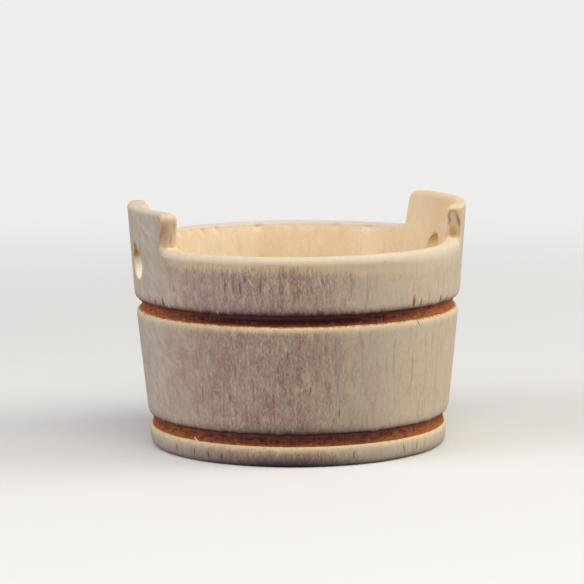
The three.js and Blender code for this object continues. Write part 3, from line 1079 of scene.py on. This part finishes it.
# The dark copy beside each pale fleck is a painted shadow of the raised fibre.
for name, strength, shade in (
    ("Pore", 0.40, (118, 78, 70)),
    ("PaintedShadow", 0.48, (118, 82, 78)),
    ("Fleck", 0.62, (250, 236, 210)),
):
    tone = tinted(tree, tone, times(tree, grain[name], torn), strength, colour(*shade))
gritty = plus(tree, 0.06, times(tree, torn, 0.25))
tone = grain_tinted(tree, tone, grain, [
    ("Streak", 0.42, 0.28, 0.30, (192, 150, 112)),
    ("Grit", 0.47, 0.30, gritty, (150, 122, 120)),
    ("Grit", 0.53, 0.70, gritty, (240, 226, 192)),
])
# Painted light: the far left of the tub is tinted cool grey, the bluish cast of the light that falls on that
# side.
tone = tinted(tree, tone, between_mm(tree, axes["X"], -12.5, -15.5), 0.22, colour(214, 204, 203))
print("bare wood:", len(tree.nodes), "nodes")

# %% [markdown]
# ## The inside and the worn edges
#
# Inside, the wood is still a warm peach. The rim is rubbed pale, and the wood below it fades through
# yellow between the ears. Each part could have a material of its own, but that would draw a hard line
# between them. So the tones are blended in one material, by the values stored on the mesh.

# %% Inside and worn edges
patches = between(tree, grain["Patch"], 0.35, 0.65)
warm = blend_colours(tree, patches, colour(235, 214, 178), colour(241, 223, 191))
warm = grain_tinted(tree, warm, grain, [
    ("Dapple", 0.48, 0.28, 0.22, (222, 188, 146)),
    ("Streak", 0.45, 0.30, 0.15, (220, 186, 146)),
    ("Grit", 0.46, 0.30, 0.14, (214, 174, 132)),
    ("Grit", 0.54, 0.70, 0.18, (250, 236, 210)),
])
warm = tinted(tree, warm, between_mm(tree, axes["X"], 10, 14), 0.28, colour(212, 182, 140))
deep_inside = between(tree, mark(tree, "inside"), 0.75, 1.0)
tone = blend_colours(tree, deep_inside, tone, warm)
dappled = between(tree, grain["Dapple"], 0.35, 0.65)
edge_wood = blend_colours(tree, dappled, colour(226, 208, 181), colour(230, 213, 188))
# Painted shade: the back of the rim has a cooler, slightly darker tone, standing in for the less warm light
# that falls there.
edge_wood = tinted(tree, edge_wood, between_mm(tree, axes["Y"], 6, 12), 0.6, colour(214, 204, 194))
on_ears = between_mm(tree, axes["Z"], rim_height + 1.0, rim_height + 2.5)
right_half = between_mm(tree, axes["X"], -1, 1)
ear_wood = blend_colours(tree, right_half, colour(212, 199, 180), colour(234, 209, 170))
edge_wood = tinted(tree, edge_wood, on_ears, 0.75, ear_wood)
wear = plus(tree, mark(tree, "worn"), centred_noise(tree, grain["Fibre"], 0.6))
between_ears = times(tree, between_mm(tree, axes["X"], -14.5, -12.5), between_mm(tree, axes["X"], 9, 1))
yellowing = plus(tree, 0.15, times(tree, between_ears, 0.65))
tone = tinted(tree, tone, between(tree, wear, 0.2, 0.6), yellowing, colour(249, 222, 173))
tone = blend_colours(tree, between(tree, wear, 0.5, 0.95), tone, edge_wood)
print("with the inside and the worn edges:", len(tree.nodes), "nodes")

# %% [markdown]
# ## Sawn and bored wood
#
# The sawn sides of the ears are pale, with a few brown end marks. Chance wouldn't put those where the saw
# left them, so they are placed one by one. The bores are warm and pale. The upper part of the one in the left
# ear faces down and is painted brown: painted shade.

# %% Sawn and bored wood
stain = stretched_noise(tree, spot, 0.5, 2.2)
cut_wood = tinted(tree, colour(248, 223, 183), between(tree, stain, 0.50, 0.66), 0.35, colour(208, 164, 114))
cut_spot = ragged_spot(tree, spot, 0.5, 0.16)
red_streak, tan_line, orange_tan = colour(186, 110, 84), colour(184, 140, 90), colour(212, 160, 102)
pale_tan, rose_tan = colour(214, 176, 136), colour(198, 148, 122)
cut_facing = math.radians(-90)
cut_marks = [
    ((14.00, -7.20, 21.24), 0.55, 0.95, 8, orange_tan, 0.7),
    ((13.26, -7.10, 21.00), 0.40, 0.85, 6, pale_tan, 0.6),
    ((14.48, -7.46, 22.43), 0.26, 1.10, 18, red_streak, 0.75),
    ((13.60, -7.53, 22.60), 0.20, 1.20, 5, tan_line, 0.7),
    ((13.90, -7.70, 23.30), 0.60, 0.24, 0, tan_line, 0.45),
    ((-14.25, -7.88, 22.00), 0.60, 2.00, -4, pale_tan, 0.7),
    ((-14.62, -7.86, 22.00), 0.36, 1.30, -8, rose_tan, 0.7),
    ((-14.80, -7.63, 21.30), 0.28, 0.80, -8, red_streak, 0.65),
    ((-13.75, -7.63, 21.40), 0.14, 0.90, -3, tan_line, 0.55),
]
for place, half_width, half_length, lean, shade, strength in cut_marks:
    cut_mark = single_mark(tree, cut_spot, place, cut_facing, half_width, half_length, lean)
    cut_wood = tinted(tree, cut_wood, cut_mark, strength, shade)
tone = blend_colours(tree, between(tree, mark(tree, "sawn"), 0.3, 0.9), tone, cut_wood)
# Painted shade: the upper part of the left bore, which faces down, is painted brown.
over_hole = minus(tree, axes["Z"], hole_level * MM)
uneven_top = centred_noise(tree, grain["Dapple"], 1.5 * MM)
painted_shade_on_bore_top = between_mm(tree, plus(tree, over_hole, uneven_top), 0.3, 0.9)
fresh_bore = blend_colours(tree, painted_shade_on_bore_top, colour(255, 246, 226), colour(232, 180, 116))
brown_bore = blend_colours(tree, grain["Dapple"], colour(246, 206, 140), colour(255, 234, 186))
bored_wood = blend_colours(tree, right_half, fresh_bore, brown_bore)
tone = blend_colours(tree, between(tree, mark(tree, "bored"), 0.3, 0.8), tone, bored_wood)
print(len(cut_marks), "end marks on the sawn sides")

# %% [markdown]
# ## Marks along the edges
#
# Under each groove the edge of the wood is rubbed pale. This pale band is partly wear and partly painted
# highlight, where the rounded edge faces the light. Its flank in the groove is stained brown. Over each
# groove the lathe's friction has scorched the ends of the fibres, and where the wall is torn their
# purple-grey tone is partly painted shade. Above them, a grey-violet tone is painted shade on the rounded
# lower edge of the band. The foot is painted darker towards the floor: painted shade where it stands. All of
# these follow the height on the wall, so each is a mask of the height, made uneven by a pattern of fibre
# ends. Painting them by hand would take longer and would show where the brush went round.

# %% Marks along the edges
worn_patches = stretched_noise(tree, spot, 0.6, 0.6)
fibre_ends = stretched_noise(tree, spot, 0.24, 5.0, 2.0, 0.6)
not_inside = minus(tree, 1.0, deep_inside)
# The pale band under each groove is partly wear and partly painted highlight, where the rounded edge faces
# the light.
rubbed_and_lit_strength = plus(tree, times(tree, torn, 0.48), 0.38)
calm_unevenness = plus(tree, 0.2 * MM, times(tree, torn, 0.2 * MM))
wild_unevenness = minus(tree, 0.8 * MM, times(tree, torn, 0.48 * MM))
stain_fade = 0.12
for level, unevenness, over in ((upper_bottom, wild_unevenness, 0.14), (lower_bottom, calm_unevenness, 0.02)):
    below = minus(tree, level * MM, axes["Z"])
    rubbed_and_lit = times(tree, between_mm(tree, below, -0.05, 0.05), between_mm(tree, below, 0.85, 0.1))
    rubbed_and_lit = times(tree, times(tree, rubbed_and_lit, between(tree, worn_patches, 0.1, 0.45)), not_inside)
    tone = tinted(tree, tone, rubbed_and_lit, rubbed_and_lit_strength, colour(243, 217, 163))
    uneven = centred_noise(tree, fibre_ends, unevenness, 0.51)
    stained = between_mm(tree, minus(tree, below, uneven), over, over - stain_fade)
    flank = times(tree, times(tree, stained, between_mm(tree, below, -0.9, -0.8)), not_inside)
    tone = tinted(tree, tone, flank, 0.8, colour(176, 106, 52))
# Scorch and painted shade: the fibre ends over the grooves are scorched reddish brown. Where the wall is
# torn, their tone turns purple-grey, which stands in for shade lit by bluish bounced light.
scorch_and_shade_tone = blend_colours(tree, between(tree, torn, 0.25, 0.8), colour(150, 92, 72), colour(116, 78, 88))
for level, shortest, longest in ((upper_top, 0.16, 0.85), (lower_top, 0.14, 0.65)):
    above = minus(tree, axes["Z"], level * MM)
    past_groove = between_mm(tree, above, -0.45, -0.4)
    # Painted shade: over each groove, where the wall is torn, a grey-violet tone darkens the band's rounded
    # lower edge, which faces down.
    painted_shade_over_groove = times(tree, times(tree, between_mm(tree, above, 1.3, 0), past_groove), torn)
    tone = tinted(tree, tone, times(tree, painted_shade_over_groove, not_inside), 0.5, colour(112, 94, 104))
    reach = rescaled(tree, fibre_ends, (0.36, 0.68), (shortest * MM, longest * MM))
    scorch_and_shade = times(tree, between(tree, above, reach, times(tree, reach, -0.2)), past_groove)
    tone = tinted(tree, tone, times(tree, scorch_and_shade, not_inside), 0.85, scorch_and_shade_tone)
# Painted shade: where the wall is torn, the foot is darker and more violet towards the floor it stands on.
painted_foot_shade = between_mm(tree, axes["Z"], 1.75, 0.2)
tone = tinted(tree, tone, times(tree, painted_foot_shade, torn), 0.9, colour(88, 62, 74))
print("with the marks along the edges:", len(tree.nodes), "nodes")

# %% [markdown]
# ## Single marks
#
# A few marks stand out from the grain: pale fibres, dark tears, scorched ticks, tan lines, and cracks in
# the foot. A painted picture could hold them, but a list can be read and changed. Each mark is an oval:
# its angle from the front in degrees, its height, half its width and half its length in millimetres, its
# lean in degrees, and its strength.

# %% Single marks
def band_radius(height):
    """Radius of the wall's outside at a height: the upper band, the straight flare of the middle band, or
    the foot."""
    if height > upper_top:
        return outer_radius(height)
    if height < lower_top:
        return foot_radius
    return middle_foot_radius + middle_flare * (height - lower_top) / (upper_bottom - lower_top)


pale_fibres = [
    (-26.6, 17.9, 0.12, 0.9, 38, 0.75), (-21.8, 17.2, 0.12, 0.8, 0, 0.5), (-3.7, 18.1, 0.10, 0.9, 14, 0.7),
    (0.1, 18.1, 0.09, 1.1, 0, 0.45), (-9.7, 7.6, 0.09, 0.40, -4, 0.8), (-7.4, 7.8, 0.09, 0.45, -6, 0.7),
    (-15.2, 11.5, 0.09, 0.4, 0, 0.6), (-61.0, 14.9, 0.14, 0.40, 0, 0.8), (-39.1, 14.9, 0.12, 0.30, 0, 0.6),
    (-71.7, 21.9, 0.16, 1.1, 55, 0.55), (-74.6, 21.1, 0.14, 0.8, 50, 0.45), (-68.2, 20.8, 0.13, 0.7, 50, 0.4),
    (-53.6, 2.30, 0.22, 0.50, 40, 0.7),
]
dark_tears = [
    (-35.7, 17.4, 0.13, 1.3, 0, 0.7), (-32.7, 17.7, 0.26, 1.6, 2, 0.6), (-30.2, 17.3, 0.18, 1.3, 4, 0.75),
    (-28.5, 18.2, 0.24, 0.6, 8, 0.65), (-23.3, 17.4, 0.16, 1.1, -2, 0.7), (-2.4, 17.9, 0.10, 0.8, 14, 0.55),
    (-8.3, 7.5, 0.09, 0.40, 0, 0.8), (-6.5, 7.6, 0.09, 0.45, 0, 0.75), (-18.1, 9.6, 0.13, 0.45, 2, 0.65),
    (-14.4, 11.1, 0.11, 0.5, 0, 0.6), (-33.4, 9.3, 0.13, 0.8, 0, 0.6), (-36.0, 6.7, 0.22, 0.5, 0, 0.5),
    (3.9, 5.2, 0.10, 0.7, -6, 0.8),
]
# The tick at -84 degrees, over the left cord hole, is painted shade at the top of the hole's mouth.
scorched_ticks = [
    (32.4, 15.4, 0.28, 0.85, -3, 0.85), (36.2, 15.2, 0.16, 0.65, 0, 0.8), (48.0, 15.2, 0.22, 0.6, 0, 0.8),
    (52.9, 15.0, 0.18, 0.6, 0, 0.85), (-64.0, 15.2, 0.26, 0.75, 4, 0.85), (-69.0, 15.1, 0.24, 0.5, 0, 0.8),
    (35.6, 13.3, 0.10, 0.55, 30, 0.9), (-47.4, 6.9, 0.09, 0.9, 2, 0.7), (-36.6, 18.7, 0.12, 0.6, 0, 0.5),
    (-47.2, 18.7, 0.09, 0.35, 0, 0.6), (-57.3, 16.8, 0.10, 0.5, 0, 0.5), (-84.0, 20.16, 0.90, 0.42, 0, 0.6),
]
tan_lines = [
    (33.8, 8.6, 0.14, 3.8, 0, 0.6), (41.6, 8.0, 0.10, 4.2, 0, 0.45), (49.0, 8.0, 0.14, 3.6, 0, 0.4),
    (32.0, 16.8, 0.12, 1.2, 0, 0.5), (-39.6, 9.9, 0.20, 1.5, 0, 0.7), (-25.4, 19.1, 0.50, 0.35, 0, 0.5),
    (7.1, 18.0, 0.15, 0.20, 0, 0.8), (19.5, 19.58, 0.12, 0.10, 0, 0.8),
]
foot_cracks = [
    (-64.0, 0.95, 0.12, 0.6, 8, 0.85), (-54.0, 0.90, 0.14, 0.7, -6, 0.8), (-47.0, 0.85, 0.13, 0.6, 4, 0.85),
    (-41.0, 0.80, 0.13, 0.5, -4, 0.8), (0.6, 1.00, 0.10, 0.5, 10, 0.5), (9.9, 1.05, 0.13, 0.75, -8, 0.75),
    (32.5, 1.10, 0.10, 0.85, 12, 0.65), (40.0, 1.20, 0.12, 0.85, -8, 0.7),
]
mark_spot = ragged_spot(tree, spot, 0.6, 0.06)
for kind, shade in (
    (tan_lines, colour(196, 146, 104)),
    (dark_tears, colour(126, 90, 81)),
    (scorched_ticks, colour(114, 56, 40)),
    (foot_cracks, colour(104, 74, 64)),
    (pale_fibres, colour(246, 232, 208)),
):
    marked = 0.0
    for degrees, height, half_width, half_length, lean, strength in kind:
        place, facing = on_wall(degrees, height, band_radius)
        oval = single_mark(tree, mark_spot, place, facing, half_width, half_length, lean)
        marked = reckon(tree, "MAXIMUM", marked, times(tree, oval, strength))
    tone = blend_colours(tree, marked, tone, shade)
    print(len(kind), "single marks of one kind")
place, facing = on_wall(142.2, 17.6, inner_radius)
tone = tinted(tree, tone, single_mark(tree, spot, place, facing, 0.1, 0.8), 0.35, colour(206, 158, 120))

# %% Roughness and bump of the wall
rough = rescaled(tree, grain["Streak"], (0.2, 0.8), (0.72, 0.92))
calm = reckon(tree, "MAXIMUM", mark(tree, "worn"), deep_inside)
lively = times(tree, torn, minus(tree, 1.0, times(tree, calm, 0.9)))
finish_look(tree, shader, tone, rough, times(tree, grain["Height"], lively), strength=0.5, depth=0.05)
wall.data.materials.append(wall_look)
print("finish of the wall:", len(tree.nodes), "nodes")

# %% [markdown]
# ## The strips' finish
#
# The strips are brown. They are darkest at the front and towards the top, where the groove's edge has rubbed
# and scorched them. This darkening is partly painted shade, under the groove's overhang and at the front,
# where little light falls. They are more orange at the lower edge and at the sides. Upright fibres, blotches
# and fine grit break the colour up, and a paler tone along the upper edge is painted light that lifts the
# shadow there.

# %% Strip finish
scorch_and_shade_middle, scorch_and_shade_reach, scorch_and_shade_full = math.radians(-14), math.radians(64), math.radians(16)


def strip_look(name, bottom, top, scorch_and_shade_amount):
    """Brown wood that darkens from the bottom of a strip to its top, and at the front by the given amount,
    partly from scorching and partly as painted shade, with upright fibres, blotches and fine grit."""
    look, tree, shader, spot = new_look(name, gloss=0.08)
    axes = add_node(tree, "ShaderNodeSeparateXYZ", Vector=spot).outputs
    turn = reckon(tree, "ARCTAN2", axes["X"], times(tree, axes["Y"], -1.0))
    from_front = reckon(tree, "ABSOLUTE", minus(tree, turn, scorch_and_shade_middle))
    scorch_and_shade = between(tree, from_front, scorch_and_shade_reach, scorch_and_shade_full)
    fibre = stretched_noise(tree, spot, 0.18, 1.2)
    grit = stretched_noise(tree, spot, 0.15, 0.15, 1.0)
    blotch = stretched_noise(tree, spot, 0.85, 0.26)
    # Darker towards the top: partly scorch, partly painted shade under the overhang of the groove.
    dark = rescaled(tree, axes["Z"], (bottom * MM, top * MM), (0, 0.55))
    for pattern, weight in ((blotch, 1.6), (fibre, 0.9)):
        dark = plus(tree, dark, centred_noise(tree, pattern, weight))
    # Darker still at the front: partly scorch, partly painted shade where little light reaches the groove.
    dark = plus(tree, dark, times(tree, scorch_and_shade, scorch_and_shade_amount))
    tone = blend_colours(tree, between(tree, dark, 0.05, 0.55), colour(172, 100, 56), colour(126, 68, 48))
    tone = blend_colours(tree, between(tree, dark, 0.55, 1.15), tone, colour(66, 29, 29))
    tone = tinted(tree, tone, between(tree, grit, 0.56, 0.72), 0.5, colour(72, 34, 27))
    pale_grit = times(tree, between(tree, grit, 0.44, 0.30), minus(tree, 1.0, scorch_and_shade))
    tone = tinted(tree, tone, pale_grit, 0.45, colour(202, 138, 84))
    lowest = between_mm(tree, axes["Z"], bottom + 0.24, bottom + 0.05)
    tone = tinted(tree, tone, lowest, 0.35, colour(172, 98, 44))
    # Painted light: a paler tone along the top of the strip lifts the shadow that the band above casts into
    # the groove.
    painted_light_band = between_mm(tree, axes["Z"], top - 0.55, top - 0.1)
    painted_light_strength = plus(tree, 0.25, times(tree, scorch_and_shade, 0.62 * scorch_and_shade_amount))
    tone = tinted(tree, tone, painted_light_band, painted_light_strength, colour(158, 102, 98))
    rough = rescaled(tree, fibre, (0, 1), (0.65, 0.9))
    finish_look(tree, shader, tone, rough, plus(tree, fibre, grit), strength=0.5, depth=0.03)
    return look


lower_strip.data.materials.append(strip_look("lower_brown_wood", lower_bottom, lower_top, 0.45))
upper_strip.data.materials.append(strip_look("upper_brown_wood", upper_bottom, upper_top, 1.0))
print("two brown finishes")

# %% [markdown]
# ## The bottom's finish
#
# The bottom is cut across a board, so its grain runs level, along X. Turning the coordinates a quarter
# turn about Y lets the same grain group draw it.

# %% Bottom finish
disc_look, tree, shader, spot = new_look("pale_board")
level_spot = add_node(tree, "ShaderNodeMapping", Vector=spot, Rotation=(0, math.pi / 2, 0)).outputs[0]
grain = add_node(tree, "ShaderNodeGroup", {"node_tree": grain_group}, Spot=level_spot).outputs
patches = between(tree, grain["Patch"], 0.35, 0.65)
tone = blend_colours(tree, patches, colour(234, 206, 164), colour(224, 192, 150))
tone = grain_tinted(tree, tone, grain, [("Streak", 0.5, 0.3, 0.45, (196, 158, 116))])
tone = tinted(tree, tone, grain["Pore"], 0.5, colour(168, 126, 88))
rough = rescaled(tree, grain["Streak"], (0, 1), (0.7, 0.9))
finish_look(tree, shader, tone, rough, grain["Height"], strength=0.4, depth=0.04)
disc.data.materials.append(disc_look)
print("finish of the bottom:", len(tree.nodes), "nodes")
